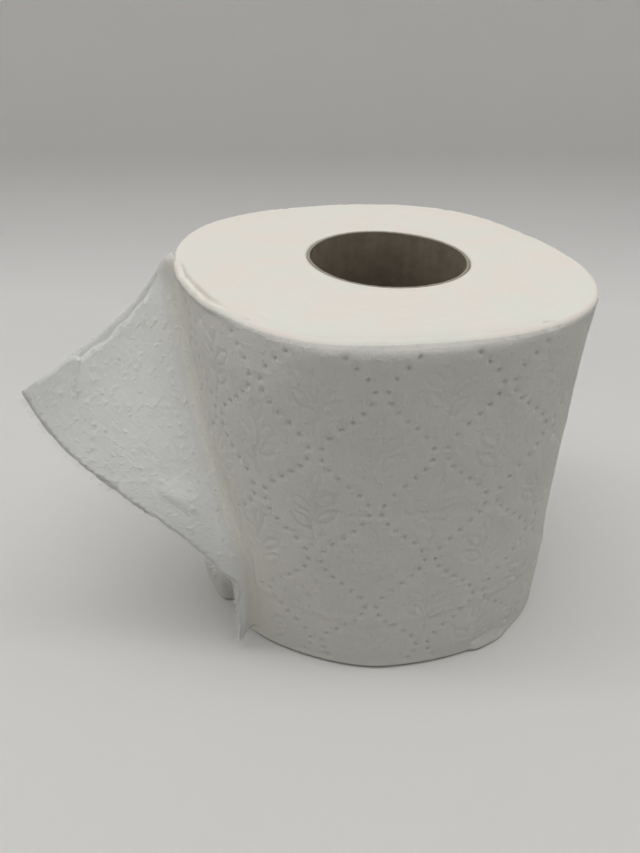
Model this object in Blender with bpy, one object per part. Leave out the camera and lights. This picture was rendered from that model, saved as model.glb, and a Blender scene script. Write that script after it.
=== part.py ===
"""A toilet paper roll that stands on its end, with the free end of the web folded out from the wall.

Two pieces: the spiral-wound cardboard core, and the tissue web. The web is one solid: its turns round
the core, the outermost turn that ends at a slanted crease, and the loose end that stands off from there.
Metres, +Z up. The part stands on z = 0, with the middle of its footprint at x = y = 0.
"""

from math import cos, pi, radians, sin, tau

import bmesh
import bpy
from mathutils import Vector

# The wound roll. The log is sawn to length, so the web's width is the height of the roll.
WEB_WIDTH = 0.097
ROLL_RADIUS = 0.0512
WEB_THICKNESS = 0.0005
END_ROUND = 0.0022
RIM_FLARE = 0.0008
RIM_FLARE_DEPTH = 0.02

# The squeeze that left roll and core a little oval, and the roll a little square.
SQUASH_SHARE = 0.042
SQUASH_ANGLE = radians(-46)
SQUARE_SHARE = 0.034
SQUARE_ANGLE = radians(-30)

# The core, which sits off the middle of the squeezed roll.
CORE_RADIUS = 0.0217
CORE_WALL = 0.0008
CORE_GAP = 0.0003
CORE_ASIDE = 0.0034
CORE_BEHIND = 0.0016

# The edges of the turns on both sawn ends, drawn coarser than the real hundred or so: across each
# turn, a flat edge and then the groove beside the next one.
DRAWN_TURNS = 10
TURN_PROFILE_SHARES = ((0.0, 0.0), (0.64, 0.0), (0.82, 1.0))
GROOVE_DEPTH = 0.0005
OUTER_LAND = 0.004
INNER_LAND = 0.003

# The loose end, from the crease to the torn edge. The crease is upright at its foot and slants above
# it. The web's edges are parallel, so that slant adds to the length along the top.
CREASE_TOP_ANGLE = radians(180)
CREASE_LEAN = 0.0435
CREASE_FOOT = 0.026
LOOSE_BOTTOM = 0.0075
LOOSE_THICKNESS = 0.0006
LOOSE_LIFT = 0.0006
LOOSE_SAG = 0.0035
LOOSE_BOW = 0.003

# Which way the loose end leaves the crease at the bottom and at the top, and how its torn edge
# starts from its two corners, as shares of the web's width.
BOTTOM_WAY_SHARES = Vector((-0.39, -0.92, 0.0))
TOP_WAY_SHARES = Vector((-0.69, -0.59, -0.42))
BOTTOM_CORNER_SHARES = Vector((0.06, -0.01, 0.44))
TOP_CORNER_SHARES = Vector((0.09, 0.01, -0.41))

# How finely the round and bent faces are divided.
WALL_COLUMNS = 64
WALL_ROWS = 12
ROUND_ROWS = 3
LOOSE_COLUMNS = 8

TISSUE_COLOUR = (0.80, 0.79, 0.75, 1.0)
BOARD_COLOUR = (0.30, 0.27, 0.21, 1.0)

LOOSE_TOP = LOOSE_BOTTOM + CREASE_LEAN
CORE_CENTRE = Vector((CORE_ASIDE, CORE_BEHIND, 0.0))


def facing(angle):
    """Unit vector in the plane of the floor at this angle."""
    return Vector((cos(angle), sin(angle), 0.0))


def squashed(radius, angle):
    """Radius of the squeezed core, or of a turn right beside it."""
    return radius * (1 + SQUASH_SHARE * cos(2 * (angle - SQUASH_ANGLE)))


def wall_radius(angle):
    """Radius of the squeezed roll, before its outermost turn is added."""
    return squashed(ROLL_RADIUS, angle) + ROLL_RADIUS * SQUARE_SHARE * cos(4 * (angle - SQUARE_ANGLE))


def crease_angle(height):
    """Where the web leaves the wall: further round, with the winding, towards the foot of the crease."""
    down = min(1.0, (WEB_WIDTH - height) / (WEB_WIDTH - CREASE_FOOT))
    return CREASE_TOP_ANGLE + CREASE_LEAN / ROLL_RADIUS * down * down * (3 - 2 * down)


def wall_point(height, column, inset):
    """A point of the outermost turn, which starts and ends at the crease and climbs over itself there."""
    turned = column / WALL_COLUMNS
    overlap = WEB_THICKNESS / ROLL_RADIUS
    angle = crease_angle(height) + turned * (tau - overlap)
    flare = RIM_FLARE * max(0.0, 1 - (WEB_WIDTH - height) / RIM_FLARE_DEPTH) ** 2
    radius = wall_radius(angle) + flare + WEB_THICKNESS * turned - inset
    return facing(angle) * radius + Vector((0.0, 0.0, height))


def bore_point(height, angle):
    """A point of the innermost turn, just clear of the core."""
    radius = squashed(CORE_RADIUS, angle) + CORE_GAP
    return CORE_CENTRE + facing(angle) * radius + Vector((0.0, 0.0, height))


def wall_rows(bm):
    """Rows of vertices up the wall, with both rims rounded. Returns them with the rows of the straight wall."""
    levels = []
    for step in range(ROUND_ROWS):
        bend = pi / 2 * step / ROUND_ROWS
        levels.append((END_ROUND * (1 - sin(bend)), END_ROUND * (1 - cos(bend))))
    straight = WEB_WIDTH - 2 * END_ROUND
    for step in range(WALL_ROWS + 1):
        levels.append((0.0, END_ROUND + straight * step / WALL_ROWS))
    for step in reversed(range(ROUND_ROWS)):
        bend = pi / 2 * step / ROUND_ROWS
        levels.append((END_ROUND * (1 - sin(bend)), WEB_WIDTH - END_ROUND * (1 - cos(bend))))
    rows = []
    for inset, height in levels:
        rows.append([bm.verts.new(wall_point(height, column, inset)) for column in range(WALL_COLUMNS + 1)])
    return rows, rows[ROUND_ROWS:ROUND_ROWS + WALL_ROWS + 1]


def strip(bm, first, second):
    """Faces between two rows of as many vertices."""
    for step in range(len(first) - 1):
        bm.faces.new((first[step], first[step + 1], second[step + 1], second[step]))


def torn_edge(share):
    """The free edge of the web, from its bottom corner to its top corner."""
    low_root = wall_point(0.0, 0, 0.0)
    top_root = wall_point(WEB_WIDTH, 0, 0.0)
    bottom = low_root + BOTTOM_WAY_SHARES.normalized() * LOOSE_BOTTOM + Vector((0.0, 0.0, LOOSE_LIFT))
    top = top_root + TOP_WAY_SHARES.normalized() * LOOSE_TOP
    after_bottom = bottom + BOTTOM_CORNER_SHARES * WEB_WIDTH
    before_top = top + TOP_CORNER_SHARES * WEB_WIDTH
    back = 1 - share
    ends = bottom * back**3 + top * share**3
    return ends + after_bottom * (3 * back * back * share) + before_top * (3 * back * share * share)


def loose_point(across, up, root):
    """A point midway through the loose end: across is 0 at the crease and 1 at the torn edge."""
    point = root.lerp(torn_edge(up), across)
    arch = sin(pi * across)
    point += Vector((0.0, 0.0, -LOOSE_SAG * up * arch))
    return point + facing(crease_angle(WEB_WIDTH / 2) + pi / 2) * (LOOSE_BOW * arch * sin(pi * up))


def loose_end(bm, straight_rows):
    """The two faces of the loose end and its three edges, joined to both sides of the crease."""
    roots = []
    for row in straight_rows:
        roots.append((row[0].co + row[-1].co) / 2)
    last = len(straight_rows) - 1
    middle = []
    for index, root in enumerate(roots):
        across = [step / LOOSE_COLUMNS for step in range(LOOSE_COLUMNS + 1)]
        middle.append([loose_point(share, index / last, root) for share in across])
    fronts = []
    backs = []
    for index, row in enumerate(straight_rows):
        above = middle[min(index + 1, last)]
        below = middle[max(index - 1, 0)]
        front = [row[0]]
        back = [row[-1]]
        for step in range(1, LOOSE_COLUMNS + 1):
            outward = middle[index][min(step + 1, LOOSE_COLUMNS)] - middle[index][step - 1]
            half = (above[step] - below[step]).cross(outward).normalized() * (LOOSE_THICKNESS / 2)
            front.append(bm.verts.new(middle[index][step] + half))
            back.append(bm.verts.new(middle[index][step] - half))
        fronts.append(front)
        backs.append(back)
    for index in range(last):
        strip(bm, fronts[index], fronts[index + 1])
        strip(bm, backs[index], backs[index + 1])
    strip(bm, fronts[0], backs[0])
    strip(bm, fronts[last], backs[last])
    strip(bm, [front[-1] for front in fronts], [back[-1] for back in backs])


def sawn_end(bm, height, rim, into_roll):
    """One end of the roll: a flat land inside the rim, the wound turns as one spiral, a land round the bore.

    Each row of vertices goes once round, and then goes on as the same row of the next turn out.
    """
    start = crease_angle(height)
    columns = range(WALL_COLUMNS)
    bore = [bore_point(height, start + tau * column / WALL_COLUMNS) for column in columns]
    profile = [(turn + across, deep) for turn in range(DRAWN_TURNS) for across, deep in TURN_PROFILE_SHARES]
    rows = []
    for begun, deep in profile + [(DRAWN_TURNS, 0.0)]:
        row = []
        for column in columns:
            wound = begun + column / WALL_COLUMNS
            ray = rim[column].co - bore[column]
            spiral = ray.length - INNER_LAND - OUTER_LAND
            out = INNER_LAND + spiral * wound / (DRAWN_TURNS + 1)
            fade = min(1.0, wound, DRAWN_TURNS + 1 - wound)
            dip = Vector((0.0, 0.0, into_roll * GROOVE_DEPTH * deep * fade))
            row.append(bm.verts.new(bore[column] + ray.normalized() * out + dip))
        rows.append(row)
    next_turn = len(TURN_PROFILE_SHARES)
    for inner, outer in zip(rows, rows[1:]):
        strip(bm, inner, outer)
    for index in range(len(rows) - next_turn - 1):
        inner, outer = rows[index:index + 2]
        inner_on, outer_on = rows[index + next_turn:index + next_turn + 2]
        bm.faces.new((inner[-1], inner_on[0], outer_on[0], outer[-1]))
    bore_ring = [bm.verts.new(point) for point in bore]
    strip(bm, bore_ring, rows[0])
    first_ends = [row[0] for row in rows[:next_turn + 1]]
    bm.faces.new([bore_ring[-1], bore_ring[0]] + first_ends + [rows[0][-1]])
    strip(bm, rim[:-1], rows[-1])
    last_ends = [row[-1] for row in rows[-next_turn - 1:]]
    bm.faces.new([rim[-2], rim[-1], rows[-1][0]] + last_ends)
    bm.faces.new((rim[-1], rim[0], rows[-1][0]))
    return bore_ring


def finished(name, bm, colour, roughness):
    """An object of this mesh, with its faces outwards, smooth where it is round, and its own material."""
    bmesh.ops.recalc_face_normals(bm, faces=bm.faces)
    if bm.calc_volume(signed=True) < 0:
        bmesh.ops.reverse_faces(bm, faces=bm.faces)
    mesh = bpy.data.meshes.new(name)
    bm.to_mesh(mesh)
    bm.free()
    mesh.shade_smooth()
    mesh.set_sharp_from_angle(angle=radians(35))
    material = bpy.data.materials.new(name)
    material.use_nodes = True
    shader = material.node_tree.nodes["Principled BSDF"]
    shader.inputs["Base Color"].default_value = colour
    shader.inputs["Roughness"].default_value = roughness
    mesh.materials.append(material)
    obj = bpy.data.objects.new(name, mesh)
    bpy.context.scene.collection.objects.link(obj)
    return obj


def tissue_paper():
    """The whole web: wound turns, outermost turn and loose end."""
    bm = bmesh.new()
    rows, straight_rows = wall_rows(bm)
    for lower, upper in zip(rows, rows[1:]):
        strip(bm, lower, upper)
        if lower not in straight_rows or upper not in straight_rows:
            bm.faces.new((lower[-1], lower[0], upper[0], upper[-1]))
    loose_end(bm, straight_rows)
    bottom = sawn_end(bm, 0.0, rows[0], 1)
    top = sawn_end(bm, WEB_WIDTH, rows[-1], -1)
    bore_edges = []
    for ring in (bottom, top):
        for step in range(WALL_COLUMNS):
            bore_edges.append(bm.edges.get((ring[step - 1], ring[step])))
    bmesh.ops.bridge_loops(bm, edges=bore_edges)
    return finished("tissue_paper", bm, TISSUE_COLOUR, 0.95)


def cardboard_core():
    """The core: a thin tube of the squeezed round, sawn off with the web."""
    bm = bmesh.new()
    rings = []
    for radius in (CORE_RADIUS, CORE_RADIUS - CORE_WALL):
        for height in (0.0, WEB_WIDTH):
            ring = []
            for column in range(WALL_COLUMNS):
                angle = tau * column / WALL_COLUMNS
                place = CORE_CENTRE + facing(angle) * squashed(radius, angle)
                ring.append(bm.verts.new(place + Vector((0.0, 0.0, height))))
            rings.append(ring + ring[:1])
    outer_low, outer_high, inner_low, inner_high = rings
    strip(bm, outer_low, outer_high)
    strip(bm, inner_low, inner_high)
    strip(bm, outer_low, inner_low)
    strip(bm, outer_high, inner_high)
    return finished("cardboard_core", bm, BOARD_COLOUR, 0.9)


def stand_on_middle(pieces):
    """Puts the middle of the part's footprint at the origin."""
    corners = [vertex.co for piece in pieces for vertex in piece.data.vertices]
    middle = Vector((0.0, 0.0, 0.0))
    for axis in (0, 1):
        places = [corner[axis] for corner in corners]
        middle[axis] = (min(places) + max(places)) / 2
    for piece in pieces:
        piece.location = -middle


for leftover in list(bpy.data.objects):
    bpy.data.objects.remove(leftover)
stand_on_middle([tissue_paper(), cardboard_core()])
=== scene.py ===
from math import asin, ceil, cos, exp, floor, hypot, pi, radians, sin, sqrt, tau

import bmesh
import bpy
import numpy as np
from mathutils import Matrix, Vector, noise
from mathutils.geometry import delaunay_2d_cdt
from mathutils.kdtree import KDTree


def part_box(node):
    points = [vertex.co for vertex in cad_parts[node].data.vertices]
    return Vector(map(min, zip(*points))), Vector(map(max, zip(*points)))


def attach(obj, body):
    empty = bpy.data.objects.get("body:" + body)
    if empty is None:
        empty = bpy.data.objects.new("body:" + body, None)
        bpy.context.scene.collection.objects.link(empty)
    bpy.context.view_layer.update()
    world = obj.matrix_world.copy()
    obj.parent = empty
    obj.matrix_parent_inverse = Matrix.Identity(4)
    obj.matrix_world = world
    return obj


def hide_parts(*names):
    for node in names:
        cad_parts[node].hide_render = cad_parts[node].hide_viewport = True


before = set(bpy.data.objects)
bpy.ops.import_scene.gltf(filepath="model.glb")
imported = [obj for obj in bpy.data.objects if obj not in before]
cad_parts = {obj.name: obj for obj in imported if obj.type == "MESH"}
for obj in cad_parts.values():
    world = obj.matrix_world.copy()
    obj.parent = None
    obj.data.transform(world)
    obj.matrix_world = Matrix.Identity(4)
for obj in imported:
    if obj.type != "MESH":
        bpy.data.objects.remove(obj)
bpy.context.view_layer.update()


# Cardboard tube
# Two plies of grey board, wound on the slant and glued over each other, with the paper wound on them.
# The saw that cuts the roll off its log leaves the tube's rim lighter and a little furred.

ROLL_WIDTH = 0.097
SQUASH_SHARE = 0.042
SQUASH_ANGLE = radians(-46)
TUBE_RADIUS = 0.0214
TUBE_WALL = 0.0008
TUBE_ASIDE = 0.0034
TUBE_BEHIND = 0.0016
TUBE_COLUMNS = 192
TUBE_PRESSED = 0.0011
TUBE_DENTS = 0.00025
PLY_WIDTH = 0.062
JOINT_SHARE = 0.007
RIM_FUR = 0.00009

tube_low, tube_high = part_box("cardboard_core")
tube_middle = Vector(((tube_low.x + tube_high.x) / 2, (tube_low.y + tube_high.y) / 2, 0.0))
roll_middle = tube_middle - Vector((TUBE_ASIDE, TUBE_BEHIND, 0.0))


def facing(angle):
    """The level direction at this angle about the roll."""
    return Vector((cos(angle), sin(angle), 0.0))


def squashed(radius, angle):
    """A round of this radius, pressed a little oval as the whole roll is."""
    return radius * (1 + SQUASH_SHARE * cos(2 * (angle - SQUASH_ANGLE)))


def add_node(tree, kind, inputs=None, **settings):
    """A node with its settings, and with each input given a value or a link from another node's output."""
    made = tree.nodes.new(kind)
    for name, value in settings.items():
        setattr(made, name, value)
    for key, value in (inputs or {}).items():
        if isinstance(value, bpy.types.NodeSocket):
            tree.links.new(value, made.inputs[key])
        else:
            made.inputs[key].default_value = value
    return made


def tube_outline(angle):
    """The tube's outer radius: oval as the roll is, and pressed in a little at the left."""
    return squashed(TUBE_RADIUS, angle) - TUBE_PRESSED * max(0.0, -cos(angle)) ** 2


def linear(hex_colour):
    """An sRGB colour, written as #rrggbb, as linear red, green, blue and alpha."""
    shown = [int(hex_colour[at:at + 2], 16) / 255 for at in (1, 3, 5)]
    return (*[c / 12.92 if c <= 0.04045 else ((c + 0.055) / 1.055) ** 2.4 for c in shown], 1.0)


def new_material(name):
    """An empty node material and its output node."""
    made = bpy.data.materials.new(name)
    made.use_nodes = True
    made.node_tree.nodes.clear()
    return made, made.node_tree, add_node(made.node_tree, "ShaderNodeOutputMaterial")


def new_piece(name, points, faces, finishes, which=None, web_map=None, shares=None):
    """A smooth mesh object in the frame. which gives each face its finish, web_map each point its place on the web, and
    shares how near each point is to the crease."""
    mesh = bpy.data.meshes.new(name)
    mesh.from_pydata([tuple(point) for point in points], [], faces)
    for finish in finishes:
        mesh.materials.append(finish)
    mesh.polygons.foreach_set("use_smooth", [True] * len(faces))
    if which is not None:
        mesh.polygons.foreach_set("material_index", which)
    if web_map is not None:
        layer = mesh.uv_layers.new(name="web")
        corners = np.empty(len(mesh.loops), int)
        mesh.loops.foreach_get("vertex_index", corners)
        layer.data.foreach_set("uv", np.asarray(web_map, float)[corners].ravel())
    if shares is not None:
        mesh.attributes.new("crease_share", "FLOAT", "POINT").data.foreach_set("value", shares)
    made = bpy.data.objects.new(name, mesh)
    bpy.context.scene.collection.objects.link(made)
    return made


def close_outwards(made):
    """Turns every face of a closed shell outwards."""
    bm = bmesh.new()
    bm.from_mesh(made.data)
    bmesh.ops.recalc_face_normals(bm, faces=bm.faces)
    if bm.calc_volume(signed=True) < 0:
        bmesh.ops.reverse_faces(bm, faces=bm.faces)
    bm.to_mesh(made.data)
    bm.free()


# Recycled board is a dull brown grey, mottled with pale and dark fibres, and has no shine.
board, tree, out = new_material("spiral_wound_chipboard")
place = add_node(tree, "ShaderNodeTexCoord").outputs["Object"]
centred = add_node(tree, "ShaderNodeMapping", {"Vector": place, "Location": -tube_middle}).outputs["Vector"]
split = add_node(tree, "ShaderNodeSeparateXYZ", {"Vector": centred})
angle = add_node(tree, "ShaderNodeMath", {0: split.outputs["Y"], 1: split.outputs["X"]}, operation="ARCTAN2").outputs[0]
# The butt joint of the inner ply climbs one ply width for each turn of the tube.
climb = add_node(tree, "ShaderNodeMath", {0: split.outputs["Z"], 1: 1 / PLY_WIDTH}, operation="MULTIPLY").outputs[0]
turned = add_node(tree, "ShaderNodeMath", {0: angle, 1: 1 / tau, 2: climb}, operation="MULTIPLY_ADD").outputs[0]
across_ply = add_node(tree, "ShaderNodeMath", {0: turned, 1: 1.0}, operation="PINGPONG").outputs[0]
joint = add_node(tree, "ShaderNodeMapRange", {"Value": across_ply, "From Max": JOINT_SHARE}).outputs[0]
mottle = add_node(tree, "ShaderNodeTexNoise", {"Vector": centred, "Scale": 1 / 0.004, "Detail": 5.0, "Roughness": 0.65})
fleck = add_node(tree, "ShaderNodeTexNoise", {"Vector": centred, "Scale": 1 / 0.0009, "Detail": 2.0})
fleck_share = add_node(tree, "ShaderNodeMapRange", {"Value": fleck.outputs["Fac"], "From Min": 0.66, "From Max": 0.8,
                                                    "To Max": 0.4}).outputs[0]
brown = add_node(tree, "ShaderNodeMix", {"Factor": mottle.outputs["Fac"], "A": linear("#665e50"),
                                         "B": linear("#8b806f")}, data_type="RGBA").outputs["Result"]
flecked = add_node(tree, "ShaderNodeMix", {"Factor": fleck_share, "A": brown, "B": linear("#a39b8a")},
                   data_type="RGBA").outputs["Result"]
jointed = add_node(tree, "ShaderNodeMix", {"Factor": joint, "A": linear("#4a4439"), "B": flecked},
                   data_type="RGBA").outputs["Result"]
relief = add_node(tree, "ShaderNodeMath", {0: mottle.outputs["Fac"], 1: 0.4, 2: joint}, operation="MULTIPLY_ADD")
bump = add_node(tree, "ShaderNodeBump", {"Height": relief.outputs[0], "Distance": 0.0002, "Strength": 0.7})
shader = add_node(tree, "ShaderNodeBsdfPrincipled", {"Base Color": jointed, "Normal": bump.outputs["Normal"],
                                                     "Roughness": 0.92, "Specular IOR Level": 0.25})
tree.links.new(shader.outputs[0], out.inputs["Surface"])

# Where the saw went through, the same board is paler and rough with torn fibres.
board_rim, tree, out = new_material("sawn_chipboard_rim")
place = add_node(tree, "ShaderNodeTexCoord").outputs["Object"]
fur = add_node(tree, "ShaderNodeTexNoise", {"Vector": place, "Scale": 1 / 0.0006, "Detail": 3.0})
pale = add_node(tree, "ShaderNodeMix", {"Factor": fur.outputs["Fac"], "A": linear("#8f897c"), "B": linear("#b4ae9f")},
                data_type="RGBA").outputs["Result"]
bump = add_node(tree, "ShaderNodeBump", {"Height": fur.outputs["Fac"], "Distance": 0.00015, "Strength": 0.8})
shader = add_node(tree, "ShaderNodeBsdfPrincipled", {"Base Color": pale, "Normal": bump.outputs["Normal"],
                                                     "Roughness": 0.95, "Specular IOR Level": 0.2})
tree.links.new(shader.outputs[0], out.inputs["Surface"])

# The section through the wall goes up the outside, over a rim that shows both plies, and down the inside.
soft = TUBE_WALL / 7
half = TUBE_WALL / 2
over_rim = [(0.0, -soft), (soft, 0.0), (half - soft, 0.0), (half, -2 * soft), (half + soft, 0.0),
            (TUBE_WALL - soft, 0.0), (TUBE_WALL, -soft)]
section = [(inset, ROLL_WIDTH + up) for inset, up in over_rim]
section += [(TUBE_WALL, ROLL_WIDTH * share) for share in (0.8, 0.6, 0.4, 0.2)]
section += [(inset, -up) for inset, up in reversed(over_rim)]
sawn_steps = [*range(len(over_rim) - 1), *range(len(section) - len(over_rim), len(section) - 1)]
points = []
for column in range(TUBE_COLUMNS):
    angle = tau * column / TUBE_COLUMNS
    for inset, height in section:
        rough = noise.noise(facing(angle) * 60 + Vector((0.0, 0.0, inset * 4000)))
        fur_up = RIM_FUR * rough if height > ROLL_WIDTH / 2 else 0.0
        dent = TUBE_DENTS * noise.noise(facing(angle) * 1.5 + Vector((0.0, 0.0, height * 20)))
        at_wall = tube_middle + facing(angle) * (tube_outline(angle) - inset + dent)
        points.append(at_wall + Vector((0.0, 0.0, min(height + fur_up, ROLL_WIDTH + RIM_FUR))))
faces = []
which = []
for column in range(TUBE_COLUMNS):
    here = column * len(section)
    there = (column + 1) % TUBE_COLUMNS * len(section)
    for step in range(len(section)):
        after = (step + 1) % len(section)
        faces.append((here + step, there + step, there + after, here + after))
        which.append(int(step in sawn_steps))
tube = new_piece("cardboard_tube", points, faces, [board, board_rim], which)
close_outwards(tube)
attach(tube, "root")
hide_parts("cardboard_core")


# Wound roll
# Soft white tissue, pressed flat between a roll of steel pins and a rubber one, then wound on the tube and sawn to
# width. The web is made flat here too: pins and fine lines dent it, and then it goes round the roll once, over the
# turns below.

ROLL_RADIUS = 0.0512
SQUARE_SHARE = 0.034
SQUARE_ANGLE = radians(-30)
END_ROUND = 0.0018
RIM_ROUND = 0.0011
SOFT_ROUND = 0.0023
FOOT_ROUND = 0.0012
ROUND_LENGTH = 0.0022
RIM_DROP = 0.0006
RIM_DROP_REACH = 0.004
RIM_FLARE = 0.0008
RIM_FLARE_DEPTH = 0.02
RIM_LEAN = 0.0018
RIM_ROLL = 0.0006
RIM_ROLL_DEPTH = 0.005
# The wall's swellings and hollows: how far out or in each goes, its angle and reach round the roll, and its height and
# reach up it. The last turn is slack behind the loose end, with a dark gap beside it, and worn back above. The right
# side is full from foot to rim, and the foot is dented at the front.
SWELLINGS = ((0.0026, radians(197), 0.45, 0.004, 0.036), (-0.0034, radians(215), 0.075, 0.002, 0.013),
             (-0.0021, radians(223), 0.62, ROLL_WIDTH, 0.013), (-0.0020, radians(247), 0.5, 0.0, 0.04),
             (0.0005, radians(331), 0.5, ROLL_WIDTH, 0.045), (0.0008, 0.06, 0.5, ROLL_WIDTH, 0.035),
             (0.0010, 0.06, 0.6, 0.064, 0.042), (0.0010, -0.2, 0.6, 0.009, 0.024))
TURNED_UP = 0.0015
TURNED_UP_HEIGHT = 0.0042
SHEET_THICKNESS = 0.00035
CREASE_TOP_ANGLE = radians(180)
CREASE_LEAN = 0.0435
CREASE_FOOT = 0.026
WEB_TURN = ROLL_RADIUS * tau - SHEET_THICKNESS
WEB_COLUMNS = 256
WEB_LEVELS = 74
WEB_LOW = END_ROUND
WEB_HIGH = ROLL_WIDTH - END_ROUND
BORE_STEPS = 10
BORE_AIR = 0.00015
FILL_PITCH = 0.0013
MARKS_APART = 0.00028
OFF_OUTLINE = 0.0004
FIRST_PIN = 0.0012
PIN_PITCH = 0.0032
PIN_RADIUS = 0.00075
PIN_DEPTH = 0.00064
PERFORATIONS = (0.157, 0.279)
SLIT = 0.0022
BRIDGE = 0.0010
PIN_ROW_PITCH = 0.0145
PIN_ROW_SWAY = 0.0058
CELL_RISE = 0.0155
LINE_HALF_WIDTH = 0.00042
LINE_DEPTH = 0.00025
LINE_STEP = 0.0008
WALL_SLACK = (0.0006, 0.011)
WALL_CRUMPLE = (-0.00016, 0.0055)
RIM_MARGIN = 0.001
CREASE_MARGIN = 0.005
WALL_FADE = 0.0015
CREASE_FADE = 0.002
ROUND_STEPS = 7
WALL_STEPS = 3
END_RINGS = 60
END_MAP = 0.2
TURN_PITCH = 0.00034
RING_RELIEF = 0.00007
FINE_RING_RELIEF = 0.00004
RING_DEPTH = 0.00008
FOOT_SETTLE = 0.0004
LEDGE_DEPTH = 0.0017
FOLD_REACH = 0.0035
TINT_REACH = 0.009


def web_angle(along):
    """The angle about the roll of a place this far along the web from the crease's top."""
    return CREASE_TOP_ANGLE + along / ROLL_RADIUS


def crease_lean(height):
    """How far along the wall the crease has moved at this height, from its place at the top."""
    down = min(1.0, (ROLL_WIDTH - height) / (ROLL_WIDTH - CREASE_FOOT))
    return CREASE_LEAN * down * down * (3 - 2 * down)


def wall_radius(angle):
    """The roll's outline: nearly round, pressed oval and a little square."""
    return squashed(ROLL_RADIUS, angle) + ROLL_RADIUS * SQUARE_SHARE * cos(4 * (angle - SQUARE_ANGLE))


def hollow(away, width):
    """1 on a line, falling smoothly to 0 at this distance from it."""
    return max(0.0, 1 - (away / width) ** 2) ** 2


def rim_softness(round_way):
    """How far the top rim is rubbed soft at this angle, which it is most at the front."""
    return hollow(round_way - radians(275), 1.15)


def rim_round(round_way):
    """The radius of the top rim's rounding at this angle."""
    return RIM_ROUND + SOFT_ROUND * rim_softness(round_way)


def wall_point(height, along, sunk):
    """A place on the outside turn, this far along the web from the crease's top and sunk under the surface."""
    angle = web_angle(along)
    round_way = angle % tau
    turned = (along - crease_lean(height)) / WEB_TURN
    flare = RIM_FLARE * max(0.0, 1 - (ROLL_WIDTH - height) / RIM_FLARE_DEPTH) ** 2
    for reach, place, wide, level, tall in SWELLINGS:
        flare += reach * hollow((angle - place + pi) % tau - pi, wide) * hollow(height - level, tall)
    # Where the top rim is rubbed soft, the wall leans in towards it and its rounding starts lower.
    lean = RIM_LEAN * (height / ROLL_WIDTH) ** 1.5 + RIM_ROLL * hollow(height - ROLL_WIDTH, RIM_ROLL_DEPTH)
    flare -= rim_softness(round_way) * lean
    rounding = rim_round(round_way)
    rounded = max(0.0, min(height, WEB_HIGH) - (ROLL_WIDTH - rounding))
    flare -= rounding - sqrt(rounding * rounding - rounded * rounded)
    # At the right of the front the foot's edge is turned up.
    turned_up = min(1.0, max(0.0, (round_way - radians(302.5)) / 0.012), max(0.0, (radians(318) - round_way) / 0.09))
    flare += TURNED_UP * turned_up * max(0.0, 1 - height / TURNED_UP_HEIGHT)
    radius = wall_radius(angle) + flare + SHEET_THICKNESS * (0.75 - turned) - sunk
    return roll_middle + facing(angle) * radius + Vector((0.0, 0.0, height))


def pin_places(start, end):
    """Pins on wavy rows that draw near and apart, so that they bound onion-shaped cells."""
    places = []
    for row in range(floor(start / PIN_ROW_PITCH) - 1, ceil(end / PIN_ROW_PITCH) + 2):
        height = FIRST_PIN
        while height < ROLL_WIDTH:
            phase = pi * height / CELL_RISE + pi * row
            places.append((row * PIN_ROW_PITCH + PIN_ROW_SWAY * sin(phase), height))
            slope = PIN_ROW_SWAY * pi / CELL_RISE * cos(phase)
            height += PIN_PITCH / sqrt(1 + slope * slope)
    return places


def leaf(foot, tip, fatness):
    """The outline of a pointed leaf, from its foot round its tip and back."""
    run = Vector(tip) - Vector(foot)
    side = Vector((-run.y, run.x)) * fatness
    there = [Vector(foot) + run * (step / 8) + side * sin(pi * step / 8) for step in range(9)]
    back = [Vector(foot) + run * (step / 8) - side * sin(pi * step / 8) for step in reversed(range(8))]
    return there + back


def sprig(middle, hand):
    """Fine lines of a leafed twig in the middle of a cell. hand is 1 or -1, and mirrors it."""
    stem = [Vector((0.0009 * sin(pi * step / 6), -0.0088 + 0.0140 * step / 12)) for step in range(13)]
    lines = [stem, leaf((0.0, 0.0052), (-0.0007, 0.0102), 0.22)]
    for side, low in ((1, -0.0062), (-1, -0.0040), (1, -0.0012), (-1, 0.0008)):
        lines.append(leaf((0.0006 * side, low), (0.0056 * side, low + 0.0042), 0.22))
    return [[Vector((middle[0] + hand * point.x, middle[1] + point.y)) for point in line] for line in lines]


def sprig_lines(start, end):
    """The lines of every twig on this length of the web."""
    lines = []
    for row in range(floor(start / PIN_ROW_PITCH) - 1, ceil(end / PIN_ROW_PITCH) + 2):
        for rise in range(5):
            middle = ((row + 0.5) * PIN_ROW_PITCH, CELL_RISE * (2 * rise - (row % 2) - 0.5))
            lines += sprig(middle, 1 if (row + rise) % 2 else -1)
    return lines


def even_steps(line, step):
    """Points along a line at about this step, each with the direction of the line there."""
    found = []
    for first, second in zip(line, line[1:]):
        run = second - first
        count = max(1, round(run.length / step))
        found += [(first + run * (part / count), run.normalized()) for part in range(count)]
    return found + [(line[-1], (line[-1] - line[-2]).normalized())]


def spaced(points, apart):
    """The points in turn, leaving out each that is nearer than this to one kept before it."""
    kept = {}
    for point in points:
        cell = (floor(point[0] / apart), floor(point[1] / apart))
        near = [kept.get((cell[0] + i, cell[1] + j)) for i in (-1, 0, 1) for j in (-1, 0, 1)]
        if all(other is None or hypot(other[0] - point[0], other[1] - point[1]) >= apart for other in near):
            kept[cell] = point
    return list(kept.values())


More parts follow.
